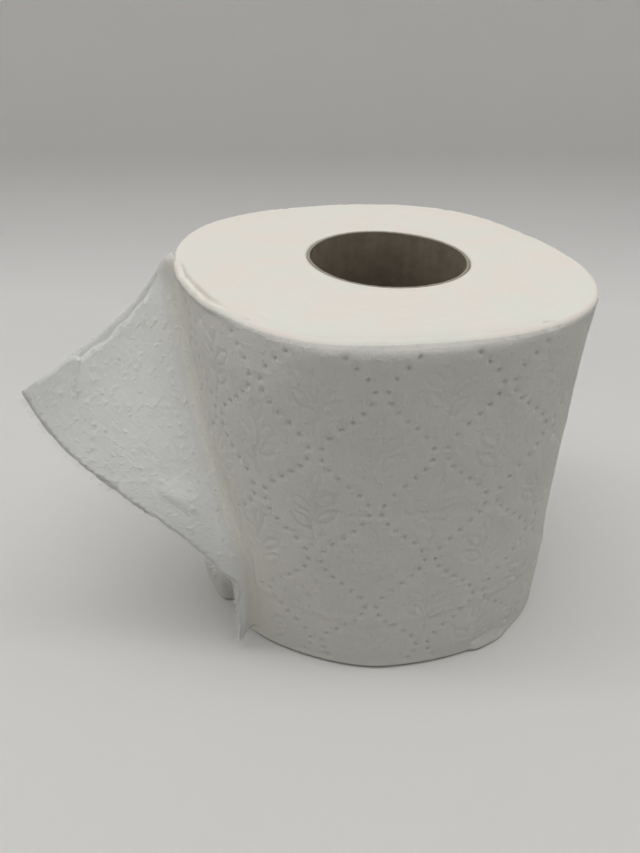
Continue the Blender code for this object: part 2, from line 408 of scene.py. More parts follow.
def flat_web(outline, pins, lines, extra, pitch):
    """Points and triangles of a flat web inside the outline, finest round the pins and lines. The outline's points come
    first."""
    low = np.min(outline, axis=0)
    high = np.max(outline, axis=0)
    marks = []
    for x, y in pins:
        marks.append((x, y))
        for share, count in ((0.45, 6), (1.1, 9)):
            for step in range(count):
                bend = tau * step / count
                marks.append((x + share * PIN_RADIUS * cos(bend), y + share * PIN_RADIUS * sin(bend)))
    for line in lines:
        for point, way in even_steps(line, LINE_STEP):
            side = Vector((-way.y, way.x)) * LINE_HALF_WIDTH
            marks += [tuple(point), tuple(point + side), tuple(point - side)]
    marks = spaced(marks + list(extra), MARKS_APART)
    tree = KDTree(len(outline) + len(marks))
    for index, point in enumerate(list(outline) + marks):
        tree.insert((point[0], point[1], 0.0), index)
    tree.balance()
    edge = KDTree(len(outline))
    for index, point in enumerate(outline):
        edge.insert((point[0], point[1], 0.0), index)
    edge.balance()
    marks = [point for point in marks if edge.find((point[0], point[1], 0.0))[2] > OFF_OUTLINE]
    fill = []
    rows = ceil((high[1] - low[1]) / (pitch * sqrt(3) / 2))
    for row in range(rows):
        for column in range(ceil((high[0] - low[0]) / pitch)):
            x = low[0] + pitch * (column + 0.5 * (row % 2))
            y = low[1] + pitch * sqrt(3) / 2 * row
            if tree.find((x, y, 0.0))[2] > 0.52 * pitch:
                fill.append((x, y))
    everything = [Vector(point) for point in list(outline) + marks + fill]
    ring = [(index, (index + 1) % len(outline)) for index in range(len(outline))]
    made = delaunay_2d_cdt(everything, ring, [], 1, 1e-8)
    place_of = {}
    for index, given in enumerate(made[3]):
        for start in given:
            place_of[start] = index
    order = [place_of[index] for index in range(len(outline))]
    rest = [index for index in range(len(made[0])) if index not in set(order)]
    new_index = {old: new for new, old in enumerate(order + rest)}
    points = [made[0][old] for old in order + rest]
    return points, [tuple(new_index[old] for old in face) for face in made[2]]


# The pins and lines dent the flat web, and it keeps a slight slackness between them.
press = bpy.data.node_groups.new("pressing_rolls", "GeometryNodeTree")
for name, kind in (("Web", "Geometry"), ("Pins", "Object"), ("Lines", "Object"), ("Pin radius", "Float"),
                   ("Pin depth", "Float"), ("Line half width", "Float"), ("Line depth", "Float"),
                   ("Slack", "Float"), ("Slack length", "Float"), ("Crumple", "Float"), ("Crumple length", "Float"),
                   ("Paper", "Material")):
    press.interface.new_socket(name, in_out="INPUT", socket_type="NodeSocket" + kind)
press.interface.new_socket("Web", in_out="OUTPUT", socket_type="NodeSocketGeometry")
given = add_node(press, "NodeGroupInput").outputs
dents = []
for target, kind, reach, depth in (("Pins", "POINTS", "Pin radius", "Pin depth"),
                                   ("Lines", "EDGES", "Line half width", "Line depth")):
    tool = add_node(press, "GeometryNodeObjectInfo", {"Object": given[target]}).outputs["Geometry"]
    away = add_node(press, "GeometryNodeProximity", {"Geometry": tool}, target_element=kind).outputs["Distance"]
    dents.append(add_node(press, "ShaderNodeMapRange", {"Value": away, "From Max": given[reach], "To Min": given[depth],
                                                        "To Max": 0.0}, interpolation_type="SMOOTHSTEP").outputs[0])
place = add_node(press, "GeometryNodeInputPosition").outputs[0]
# The pins bite everywhere, but the fine lines have come out weaker in some places than in others.
patches = add_node(press, "ShaderNodeTexNoise", {"Vector": place, "Scale": 1 / 0.03, "Detail": 1.0}).outputs["Fac"]
bite = add_node(press, "ShaderNodeMapRange", {"Value": patches, "From Min": 0.38, "From Max": 0.6,
                                              "To Min": 0.35}).outputs[0]
faded = add_node(press, "ShaderNodeMath", {0: dents[1], 1: bite}, operation="MULTIPLY").outputs[0]
dent = add_node(press, "ShaderNodeMath", {0: dents[0], 1: faded}, operation="MAXIMUM").outputs[0]
puff = add_node(press, "ShaderNodeMath", {0: 1.0, 1: given["Slack length"]}, operation="DIVIDE").outputs[0]
swell = add_node(press, "ShaderNodeTexNoise", {"Vector": place, "Scale": puff, "Detail": 3.0, "Roughness": 0.55})
centred = add_node(press, "ShaderNodeMath", {0: swell.outputs["Fac"], 1: 0.5}, operation="SUBTRACT").outputs[0]
slack = add_node(press, "ShaderNodeMath", {0: centred, 1: given["Slack"], 2: dent}, operation="MULTIPLY_ADD").outputs[0]
fine = add_node(press, "ShaderNodeMath", {0: 1.0, 1: given["Crumple length"]}, operation="DIVIDE").outputs[0]
ridged = add_node(press, "ShaderNodeTexNoise", {"Vector": place, "Scale": fine, "Detail": 2.0, "Roughness": 0.5},
                  noise_type="RIDGED_MULTIFRACTAL", normalize=True).outputs["Fac"]
depth = add_node(press, "ShaderNodeMath", {0: ridged, 1: given["Crumple"], 2: slack},
                 operation="MULTIPLY_ADD").outputs[0]
inwards = add_node(press, "ShaderNodeCombineXYZ", {"Z": depth}).outputs[0]
moved = add_node(press, "GeometryNodeSetPosition", {"Geometry": given["Web"], "Offset": inwards}).outputs[0]
whole = add_node(press, "GeometryNodeRealizeInstances", {"Geometry": moved}).outputs[0]
finished = add_node(press, "GeometryNodeSetMaterial", {"Geometry": whole, "Material": given["Paper"]}).outputs[0]
add_node(press, "NodeGroupOutput", {"Web": finished})


def scratch_object(name, points, edges, faces):
    """A flat object for a tree to work on."""
    mesh = bpy.data.meshes.new(name)
    mesh.from_pydata([(point[0], point[1], 0.0) for point in points], edges, faces)
    made = bpy.data.objects.new(name, mesh)
    bpy.context.scene.collection.objects.link(made)
    return made


def set_inputs(modifier, values):
    """Gives a tree's modifier its named inputs, by the identifier of each."""
    for item in modifier.node_group.interface.items_tree:
        if item.in_out == "INPUT" and item.name in values:
            modifier[item.identifier] = values[item.name]


def pressed(points, faces, pins, lines, paper, slack, crumple):
    """The depth that the pressing gives each point of a flat web. slack and crumple are each a depth and a length."""
    web = scratch_object("flat_web", points, [], faces)
    steel_pins = scratch_object("steel_pins", pins, [], [])
    ends = [point for line in lines for point in line]
    runs = []
    for line in lines:
        start = runs[-1][1] + 1 if runs else 0
        runs += [(start + step, start + step + 1) for step in range(len(line) - 1)]
    steel_lines = scratch_object("steel_lines", ends, runs, [])
    modifier = web.modifiers.new("pressing", "NODES")
    modifier.node_group = press
    set_inputs(modifier, {"Pins": steel_pins, "Lines": steel_lines, "Pin radius": PIN_RADIUS, "Pin depth": PIN_DEPTH,
                          "Line half width": LINE_HALF_WIDTH, "Line depth": LINE_DEPTH,
                          "Slack": slack[0], "Slack length": slack[1],
                          "Crumple": crumple[0], "Crumple length": crumple[1], "Paper": paper})
    mesh = bpy.data.meshes.new_from_object(web.evaluated_get(bpy.context.evaluated_depsgraph_get()))
    depths = [vertex.co.z for vertex in mesh.vertices]
    for made in (web, steel_pins, steel_lines):
        bpy.data.objects.remove(made)
    return depths


def tissue_look(name, white, shade, grain, through):
    """Creped tissue, read on the web's own map in metres. grain is the depth of its creping, and through the share of
    light that passes into it."""
    made, tree, out = new_material(name)
    web = add_node(tree, "ShaderNodeUVMap", uv_map="web").outputs["UV"]
    # Creping leaves ridges across the web every 0.2 mm. Here they are 0.6 mm apart, so that they show.
    creped = add_node(tree, "ShaderNodeMapping", {"Vector": web, "Scale": (1 / 0.0006, 1 / 0.0035, 1.0)})
    crepe = add_node(tree, "ShaderNodeTexNoise", {"Vector": creped.outputs["Vector"], "Scale": 1.0, "Detail": 3.0,
                                                  "Roughness": 0.6, "Distortion": 0.4}).outputs["Fac"]
    clump = add_node(tree, "ShaderNodeTexNoise", {"Vector": web, "Scale": 1 / 0.0022, "Detail": 4.0,
                                                  "Roughness": 0.6}).outputs["Fac"]
    # Here and there the fibres have balled into a low nub.
    balled = add_node(tree, "ShaderNodeTexNoise", {"Vector": web, "Scale": 1 / 0.0016, "Detail": 1.0}).outputs["Fac"]
    nubs = add_node(tree, "ShaderNodeMapRange", {"Value": balled, "From Min": 0.52, "From Max": 0.85, "To Max": 1.2},
                    interpolation_type="SMOOTHSTEP").outputs[0]
    cloud = add_node(tree, "ShaderNodeTexNoise", {"Vector": web, "Scale": 1 / 0.014, "Detail": 3.0}).outputs["Fac"]
    ridges = add_node(tree, "ShaderNodeMath", {0: clump, 1: 1.6, 2: crepe}, operation="MULTIPLY_ADD").outputs[0]
    relief = add_node(tree, "ShaderNodeMath", {0: ridges, 1: nubs}, operation="ADD").outputs[0]
    bump = add_node(tree, "ShaderNodeBump", {"Height": relief, "Distance": grain, "Strength": 0.9}).outputs["Normal"]
    tint = add_node(tree, "ShaderNodeMapRange", {"Value": cloud, "From Min": 0.3, "From Max": 0.7}).outputs[0]
    plain = add_node(tree, "ShaderNodeMix", {"Factor": tint, "A": linear(white), "B": linear(shade)},
                     data_type="RGBA").outputs["Result"]
    # Near the crease a warm tint is painted in, as painted shade where light has bounced between the layers of paper.
    near = add_node(tree, "ShaderNodeAttribute", attribute_name="crease_share").outputs["Fac"]
    colour = add_node(tree, "ShaderNodeMix", {"Factor": near, "A": plain, "B": linear("#e9e7dd")},
                      data_type="RGBA").outputs["Result"]
    shader = add_node(tree, "ShaderNodeBsdfPrincipled", {"Base Color": colour, "Normal": bump, "Roughness": 0.95,
                                                         "Specular IOR Level": 0.15}).outputs[0]
    if through:
        glow = add_node(tree, "ShaderNodeBsdfTranslucent", {"Color": colour, "Normal": bump}).outputs[0]
        passing = add_node(tree, "ShaderNodeMapRange", {"Value": near, "To Min": through, "To Max": 0.0}).outputs[0]
        shader = add_node(tree, "ShaderNodeMixShader", {"Fac": passing, 1: shader, 2: glow}).outputs[0]
    tree.links.new(shader, out.inputs["Surface"])
    return made


# Bleached tissue is a soft, chalky white with no shine. Creping makes it faintly mottled. The roll's white is painted
# greyer than the sawn ends' and the loose end's, as painted shade for its wall, which the overhead light leaves in
# shade.
tissue = tissue_look("embossed_creped_tissue", "#dfddd5", "#dbd9d2", 0.00012, 0.0)

# On the sawn ends the edges of some ninety turns lie side by side, so close that they read as faint rings.
sawn, tree, out = new_material("sawn_tissue_edges")
web = add_node(tree, "ShaderNodeUVMap", uv_map="web").outputs["UV"]
ringed = add_node(tree, "ShaderNodeMapping", {"Vector": web, "Scale": (1 / 0.02, 1 / 0.0009, 1.0)}).outputs["Vector"]
rings = add_node(tree, "ShaderNodeTexNoise", {"Vector": ringed, "Scale": 1.0, "Detail": 3.0, "Roughness": 0.6})
lint = add_node(tree, "ShaderNodeTexNoise", {"Vector": web, "Scale": 1 / 0.0011, "Detail": 4.0, "Roughness": 0.65})
cloud = add_node(tree, "ShaderNodeTexNoise", {"Vector": web, "Scale": 1 / 0.018, "Detail": 2.0}).outputs["Fac"]
relief = add_node(tree, "ShaderNodeMath", {0: rings.outputs["Fac"], 1: 1.2, 2: lint.outputs["Fac"]},
                  operation="MULTIPLY_ADD").outputs[0]
bump = add_node(tree, "ShaderNodeBump", {"Height": relief, "Distance": 0.00008, "Strength": 0.4}).outputs["Normal"]
tint = add_node(tree, "ShaderNodeMapRange", {"Value": cloud, "From Min": 0.35, "From Max": 0.65}).outputs[0]
colour = add_node(tree, "ShaderNodeMix", {"Factor": tint, "A": linear("#eee6dd"), "B": linear("#eae9df")},
                  data_type="RGBA").outputs["Result"]
shader = add_node(tree, "ShaderNodeBsdfPrincipled", {"Base Color": colour, "Normal": bump, "Roughness": 0.97,
                                                     "Specular IOR Level": 0.1}).outputs[0]
tree.links.new(shader, out.inputs["Surface"])

# The web's outline runs round it from the crease's foot, and its sides have points at the same heights.
levels = [WEB_LOW + (WEB_HIGH - WEB_LOW) * step / WEB_LEVELS for step in range(WEB_LEVELS + 1)]
low_side = [(crease_lean(WEB_LOW) + WEB_TURN * column / WEB_COLUMNS, WEB_LOW) for column in range(WEB_COLUMNS)]
far_side = [(crease_lean(height) + WEB_TURN, height) for height in levels[:-1]]
high_side = [(crease_lean(WEB_HIGH) + WEB_TURN * column / WEB_COLUMNS, WEB_HIGH)
             for column in range(WEB_COLUMNS, 0, -1)]
near_side = [(crease_lean(height), height) for height in reversed(levels[1:])]
outline = low_side + far_side + high_side + near_side
web_start = min(point[0] for point in outline)
web_end = max(point[0] for point in outline)


def on_web(x, y, from_crease, from_end):
    """Whether a place is inside the rims' margin, and this far from the crease and from the web's other end."""
    return (WEB_LOW + RIM_MARGIN < y < WEB_HIGH - RIM_MARGIN
            and from_crease < x - crease_lean(y) < WEB_TURN - from_end)


pins = [(x, y) for x, y in pin_places(web_start, web_end) if on_web(x, y, CREASE_MARGIN, 0.0016)]
lines = [line for line in sprig_lines(web_start, web_end)
         if all(on_web(point.x, point.y, CREASE_MARGIN, 0.002) for point in line)]
# A sheet's length apart, a row of short slits lets it be torn off.
for along in PERFORATIONS:
    for slit in range(floor(ROLL_WIDTH / (SLIT + BRIDGE)) - 1):
        low = WEB_LOW + 0.0015 + slit * (SLIT + BRIDGE)
        if 0.002 < along - crease_lean(low) < WEB_TURN - 0.002:
            lines.append([Vector((along, low)), Vector((along, low + SLIT))])


def fold_height(along):
    """The height of the faint fold that runs round the foot of the wall."""
    angle = web_angle(along)
    return 0.0205 - 0.003 * sin(angle - radians(185)) ** 2 + 0.0008 * sin(5 * angle)


def pucker_height(along):
    """The height of a shallow pucker half way up the front."""
    return 0.0535 - 2.7 * max(0.0, along - 0.085) ** 2


# Three close lines of points carry the faint fold.
extra = []
for column in range(WEB_COLUMNS):
    along = web_start + WEB_TURN * column / WEB_COLUMNS
    for aside in (-0.0006, 0.0, 0.0006):
        extra.append((along, fold_height(along) + aside))
extra = [(x, y) for x, y in extra if 0.0016 < x - crease_lean(y) < WEB_TURN - 0.0016]
flat, web_faces = flat_web(outline, pins, lines, extra, FILL_PITCH)
depths = pressed(flat, web_faces, pins, lines, tissue, WALL_SLACK, WALL_CRUMPLE)

# The pressed web goes round the roll, with its fold, its pucker and two soft bulges: one low at the right, and one
# beside the crease, where the loose end pulls the turn off the roll.
roll_points = []
web_map = []
for (along, height), depth in zip(flat, depths):
    from_crease = along - crease_lean(height)
    off_fold = height - fold_height(along)
    fold = 0.00028 * hollow(off_fold, 0.0010) - 0.0002 * hollow(off_fold - 0.0016, 0.0016)
    pucker = 0.00036 * hollow(along - 0.095, 0.05) * hollow(height - pucker_height(along), 0.0012)
    bulge = 0.0011 * hollow(web_angle(along) - radians(352), 0.45) * hollow(height - 0.022, 0.020)
    bulge += 0.0006 * hollow(from_crease - 0.0115, 0.008) * hollow(height - 0.05, 0.046)
    fade = min(1.0, (height - WEB_LOW) / WALL_FADE, (WEB_HIGH - height) / WALL_FADE,
               (from_crease - FOLD_REACH) / CREASE_FADE, (WEB_TURN - from_crease) / CREASE_FADE)
    roll_points.append(wall_point(height, along, (depth + fold + pucker) * max(0.0, fade) - bulge))
    web_map.append((along, height))
roll_faces = list(web_faces)
which = [0] * len(roll_faces)

# Both rims are rounded, and the top one is worn down to a ledge beside the crease's top. It is nicked too: each nick
# has its angle in degrees, its reach and its depth.
NICKS = ((269.2, 0.013, 0.0007), (312.4, 0.017, 0.0009), (232.0, 0.010, 0.0006), (287.5, 0.009, 0.0004),
         (60.0, 0.014, 0.0006), (118.0, 0.011, 0.0005))


def rim_wear(along):
    """How far the top rim is worn back here."""
    angle = web_angle(along) % tau
    worn = 0.0002 * noise.noise(facing(angle) * 5.0) + 0.00014 * noise.noise(facing(angle) * 24.0)
    worn += 0.00014 * noise.noise(facing(angle) * 80.0)
    for place, width, depth in NICKS:
        worn += depth * hollow(angle - radians(place), width)
    return worn


def ledge(along):
    """How far the outermost turns stand below the rest beside the crease's top."""
    angle = web_angle(along) % tau
    inside = min(1.0, max(0.0, (angle - radians(182)) / 0.06), max(0.0, (radians(224) - angle) / 0.2))
    return LEDGE_DEPTH * inside * (0.85 + 0.5 * noise.noise(facing(angle) * 14.0))


def add_row(row_points, row_map):
    """Adds a row of points round the roll and returns where it starts."""
    start = len(roll_points)
    roll_points.extend(row_points)
    web_map.extend(row_map)
    return list(range(start, start + len(row_points)))


def join_rows(first, second, finish):
    """Faces between two closed rows of as many points."""
    count = len(first)
    for step in range(count):
        after = (step + 1) % count
        roll_faces.append((first[step], first[after], second[after], second[step]))
        which.append(finish)


def bore_radius(angle):
    """The radius of the roll's bore, with a little air round the tube."""
    return tube_outline(angle) + BORE_AIR


def sawn_end(edge_row, top):
    """The rounded rim and the flat sawn end inside it. Returns the row round the bore."""
    row = edge_row
    base = ROLL_WIDTH if top else 0.0
    inner = 1 if top else -1
    lean = crease_lean(WEB_HIGH if top else WEB_LOW)
    alongs = [lean + WEB_TURN * column / WEB_COLUMNS for column in range(WEB_COLUMNS + 1)]
    for step in range(1, ROUND_STEPS + 1):
        made = []
        for along in alongs:
            round_way = web_angle(along) % tau
            radius = rim_round(round_way) if top else FOOT_ROUND
            # The rounding goes on at the slope where the wall's own rounding ends.
            begun = 1 - END_ROUND / radius
            bend = asin(begun) + (pi / 2 - asin(begun)) * step / ROUND_STEPS
            worn = rim_wear(along) * sin(bend) if top else 0.0
            low = ledge(along) * 0.5 if top else 0.0
            sunk = radius * (sqrt(1 - begun * begun) - cos(bend)) + worn
            point = wall_point(base - inner * END_ROUND, along, sunk)
            drop = RIM_DROP * rim_softness(round_way) * sin(bend)
            point.z = base - inner * (radius * (1 - sin(bend)) + drop + low + 0.5 * worn)
            made.append(point)
        here = add_row(made, [(along, base + inner * ROUND_LENGTH * step / ROUND_STEPS) for along in alongs])
        join_rows(row, here, int(step > WALL_STEPS))
        row = here
    rim = [Vector((roll_points[index].x, roll_points[index].y, 0.0)) for index in row]
    for ring in range(1, END_RINGS + 1):
        share = (ring / END_RINGS) ** 1.4
        made = []
        mapped = []
        for column, along in enumerate(alongs):
            angle = web_angle(along)
            bore = tube_middle + facing(angle) * bore_radius(angle)
            point = rim[column].lerp(bore, share)
            inset = (rim[column] - point).length
            turn = (point - bore).length / TURN_PITCH + column / WEB_COLUMNS
            round_place = facing(angle) * 1.3
            coarse = round_place + Vector((0.0, 0.0, turn * 0.16 + (0 if top else 50)))
            fine = round_place * 2 + Vector((0.0, 0.0, turn * 0.5 + (0 if top else 90)))
            winding = RING_RELIEF * noise.noise(coarse)
            winding += FINE_RING_RELIEF * noise.noise(fine)
            slope = RIM_DROP * rim_softness(angle % tau) * (1 - min(1.0, inset / RIM_DROP_REACH)) ** 2
            worn_down = hollow(max(0.0, inset - 0.0005), 0.0011) - 0.5 * hollow(inset, 0.0006)
            low = ledge(along) * worn_down if top else 0.0
            settle = 0.0 if top else FOOT_SETTLE
            calm = min(1.0, share * 8, (1 - share) * 14)
            point.z = base - inner * max(0.0, slope + low + settle * calm + (winding + RING_DEPTH) * calm)
            made.append(point)
            mapped.append((along, END_MAP + turn * TURN_PITCH))
        here = add_row(made, mapped)
        join_rows(row, here, 1)
        row = here
    return row


# Under the crease the web's two ends are joined by a narrow strip, and the sawn ends and the bore close the roll.
low_row = list(range(WEB_COLUMNS + 1))
far_column = list(range(WEB_COLUMNS, WEB_COLUMNS + WEB_LEVELS + 1))
high_start = WEB_COLUMNS + WEB_LEVELS
high_row = [high_start + WEB_COLUMNS - column for column in range(WEB_COLUMNS + 1)]
near_column = [0] + [len(outline) - step for step in range(1, WEB_LEVELS)] + [high_row[0]]
for step in range(WEB_LEVELS):
    roll_faces.append((near_column[step], near_column[step + 1], far_column[step + 1], far_column[step]))
    which.append(0)
top_bore = sawn_end(high_row, True)
low_bore = sawn_end(low_row, False)
row = low_bore
for step in range(1, BORE_STEPS):
    height = WEB_LOW + (WEB_HIGH - WEB_LOW) * step / BORE_STEPS
    shift = crease_lean(WEB_LOW) * (1 - step / BORE_STEPS) + crease_lean(WEB_HIGH) * step / BORE_STEPS
    alongs = [shift + WEB_TURN * column / WEB_COLUMNS for column in range(WEB_COLUMNS + 1)]
    made = []
    for along in alongs:
        angle = web_angle(along)
        made.append(tube_middle + facing(angle) * bore_radius(angle) + Vector((0.0, 0.0, height)))
    here = add_row(made, [(along, height) for along in alongs])
    join_rows(row, here, 0)
    row = here
join_rows(row, top_bore, 0)
# Near the crease the colour takes on a painted warm shade, by this share.
shares = [max(0.0, min(1.0, 1 - (along - crease_lean(height) - FOLD_REACH) / TINT_REACH))
          for along, height in web_map]
roll = new_piece("wound_roll", roll_points, roll_faces, [tissue, sawn], which, web_map, shares)
close_outwards(roll)
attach(roll, "root")
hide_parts("tissue_paper")


# Loose end
# The last of the web, torn off by hand. It is folded out at a slanting crease and stands off the roll like a sail.
# It is two thin plies held together by the pressing, and they have slid apart a little along the top edge.

LOOSE_BOTTOM = 0.0075
LOOSE_TOP = 0.0503
LOOSE_LIFT = 0.0034
LOOSE_SAG = 0.0032
LOOSE_BOW = 0.003
FOLD_OPEN = 0.7
FOLD_BACK = 0.0034
FOLD_BACK_SHARE = 0.07
FOLD_ASIDE = Vector((-0.0015, 0.0018, 0.0))
TIP_RISE = 0.93
FOLD_TOP_RISE = 0.0021
BEND_TOP_RISE = 0.0014
ROOT_LOW = 0.0036
ROOT_HIGH = 0.0967
BOTTOM_WAY = Vector((-0.39, -0.92, 0.0))
TOP_WAY = Vector((-0.671, -0.599, -0.438))
BOTTOM_CORNER = Vector((0.06, -0.01, 0.44))
TOP_CORNER = Vector((0.122, -0.065, -0.347))
PLY_THICKNESS = 0.00016
PLY_GAP = 0.00042
PLY_SLIDE = 0.0025
PLY_SLACK = (0.0012, 0.008)
PLY_CRUMPLE = (0.0006, 0.004)
PRESSED_THROUGH = 0.45
PATTERN_SHIFT = 0.008
BITE_DEPTH = 0.0027
RIDGE_RISE = 0.0011
SMALL_FOLD_RISE = 0.0006
SMALL_FOLD = ((0.0150, 0.0955), (0.0122, 0.0895))
LOOSE_ROWS = 110
TOP_STEPS = 44
FOOT_STEPS = 8
LOOSE_PITCH = 0.0012


def crease_point(up, aside=0.0):
    """A place on the crease, from its foot at 0 to its top at 1, or this far along the wall from it."""
    height = ROOT_LOW + (ROOT_HIGH - ROOT_LOW) * up
    round_off = max(0.0, height - WEB_HIGH) / END_ROUND
    return wall_point(height, crease_lean(height) + aside, END_ROUND * (1 - sqrt(1 - round_off * round_off)))


def torn_edge(up):
    """The torn edge, from its bottom corner at 0 to its tip at 1."""
    low_root = wall_point(0.0, crease_lean(0.0), SHEET_THICKNESS * 0.75)
    top_root = wall_point(ROLL_WIDTH, crease_lean(ROLL_WIDTH), SHEET_THICKNESS * 0.75)
    bottom = low_root + BOTTOM_WAY.normalized() * LOOSE_BOTTOM + Vector((0.0, 0.0, LOOSE_LIFT))
    top = top_root + TOP_WAY.normalized() * LOOSE_TOP
    after_bottom = bottom + BOTTOM_CORNER * ROLL_WIDTH
    before_top = top + TOP_CORNER * ROLL_WIDTH
    back = 1 - up
    ends = bottom * back**3 + top * up**3
    return ends + after_bottom * (3 * back * back * up) + before_top * (3 * back * up * up)


def loose_length(up):
    """The sheet's length from the crease to the torn edge at this share of its height."""
    return (torn_edge(up) - crease_point(up)).length


def near_top(up):
    """1 at the sheet's top edge, falling to 0 a little below it."""
    return max(0.0, (up - TIP_RISE) / (1 - TIP_RISE)) ** 2


def loose_point(across, up):
    """A place in the loose end. across is 0 at the crease and 1 at the torn edge, and up is 0 at the foot."""
    point = crease_point(up).lerp(torn_edge(up), across)
    inner = max(0.0, min(1.0, across))
    point = point + Vector((0.0, 0.0, -LOOSE_SAG * up * sin(pi * inner**0.55)))
    middle_angle = web_angle(crease_lean(ROLL_WIDTH / 2))
    forward = LOOSE_BOW * sin(pi * inner) * sin(pi * up)
    # Near its top the fold is open: the sheet starts out backwards before it turns to the front.
    opened = max(0.0, (up - FOLD_OPEN) / (1 - FOLD_OPEN)) ** 2
    forward -= FOLD_BACK * opened * inner / FOLD_BACK_SHARE * exp(1 - inner / FOLD_BACK_SHARE)
    aside = FOLD_ASIDE * (opened * (1 - inner) * min(1.0, inner / 0.03))
    aside.z = FOLD_TOP_RISE * near_top(up) * hollow(inner, 0.09)
    return point + facing(middle_angle + pi / 2) * forward + aside


def fold_reach(up):
    """How far from the crease its rounding reaches, on the wall and on the loose end. It is tight at the rim."""
    return FOLD_REACH * min(1.0, 0.3 + 5 * (1 - up))


def sheet_point(out, up):
    """A place in the loose end, this far out from the crease. Near it the sheet bends round and lies on the wall."""
    length = loose_length(up)
    reach = fold_reach(up)
    if out >= reach:
        return loose_point(out / length, up)
    on_wall = crease_point(up, reach)
    off_wall = loose_point(reach / length, up)
    ahead = (loose_point(reach / length + 0.01, up) - off_wall).normalized()
    bend = max(0.0, (out + reach) / (2 * reach))
    back = 1 - bend
    to_crease = on_wall.lerp(crease_point(up), 2 / 3)
    from_crease = off_wall - ahead * (reach * 2 / 3)
    ends = on_wall * back**3 + off_wall * bend**3
    ends.z += BEND_TOP_RISE * near_top(up) * hollow(bend - 0.65, 0.6)
    return ends + to_crease * (3 * back * back * bend) + from_crease * (3 * back * bend * bend)


def sheet_outwards(out, up):
    """The direction out of the sheet's front at this place."""
    step_up = sheet_point(out, min(1.0, up + 0.01)) - sheet_point(out, max(0.0, up - 0.01))
    step_out = sheet_point(out + 0.0003, up) - sheet_point(out - 0.0003, up)
    return step_up.cross(step_out).normalized()


def torn_back(up, ply):
    """How far the tear runs inside the straight edge here. Each ply tears in its own way."""
    coarse = 0.0007 * noise.noise(Vector((up * 19, 3.1, 0.3 * ply)))
    teeth = abs(noise.noise(Vector((up * 62, 9.7, 7.0 * ply)))) * 0.00055
    fine = 0.0003 * noise.noise(Vector((up * 170, 1.3, 4.0 * ply)))
    # Low down a bite is missing.
    bitten = BITE_DEPTH * hollow(up - 0.215, 0.055 if up > 0.215 else 0.105)
    return coarse + teeth + fine + 0.0004 * ply + bitten


def slid_back(across):
    """How far the front ply's top edge has slid down behind the rear one's."""
    slid = min(1.0, max(0.0, (across - 0.04) / 0.08), max(0.0, (0.70 - across) / 0.04))
    return PLY_SLIDE * slid * (0.8 + 0.4 * noise.noise(Vector((across * 9, 5.0, 0.0))))


# The two plies are painted whiter than the roll's wall, as painted light for the sheet's bright look, and some of the
# light from behind comes through them.
loose_tissue = tissue_look("two_plies_of_tissue", "#fbfbf9", "#f8f8f6", 0.00016, 0.25)
rows = [step / LOOSE_ROWS for step in range(LOOSE_ROWS + 1)]


def line_away(x, y, start, end):
    """The distance of a place on the web from a short straight line."""
    run = (end[0] - start[0], end[1] - start[1])
    share = ((x - start[0]) * run[0] + (y - start[1]) * run[1]) / (run[0] ** 2 + run[1] ** 2)
    share = min(1.0, max(0.0, share))
    return hypot(x - start[0] - share * run[0], y - start[1] - share * run[1])


def on_ply(x, y, ply, depth):
    """A place on one ply, x from the straight edge and y up, with the pressing's depth there."""
    up = y / ROLL_WIDTH
    out = loose_length(up) - x
    # The strip along the tear is bent back under a short sharp ridge, and a small fold runs in from the top edge.
    beyond = x - 0.008
    rise = RIDGE_RISE * hollow(beyond, 0.0016 if beyond < 0 else 0.007) * hollow(y - 0.052, 0.0085)
    rise += SMALL_FOLD_RISE * hollow(line_away(x, y, *SMALL_FOLD), 0.0012)
    # Seen from this side, the pins' dents stand up as bumps.
    rise += PLY_GAP * (ply - 0.5) + PRESSED_THROUGH * depth
    rise = rise * min(1.0, max(0.0, (out + fold_reach(up)) / 0.007)) - PLY_THICKNESS / 2 - 0.0001 * (1 - ply)
    return sheet_point(out, up) + sheet_outwards(out, up) * rise


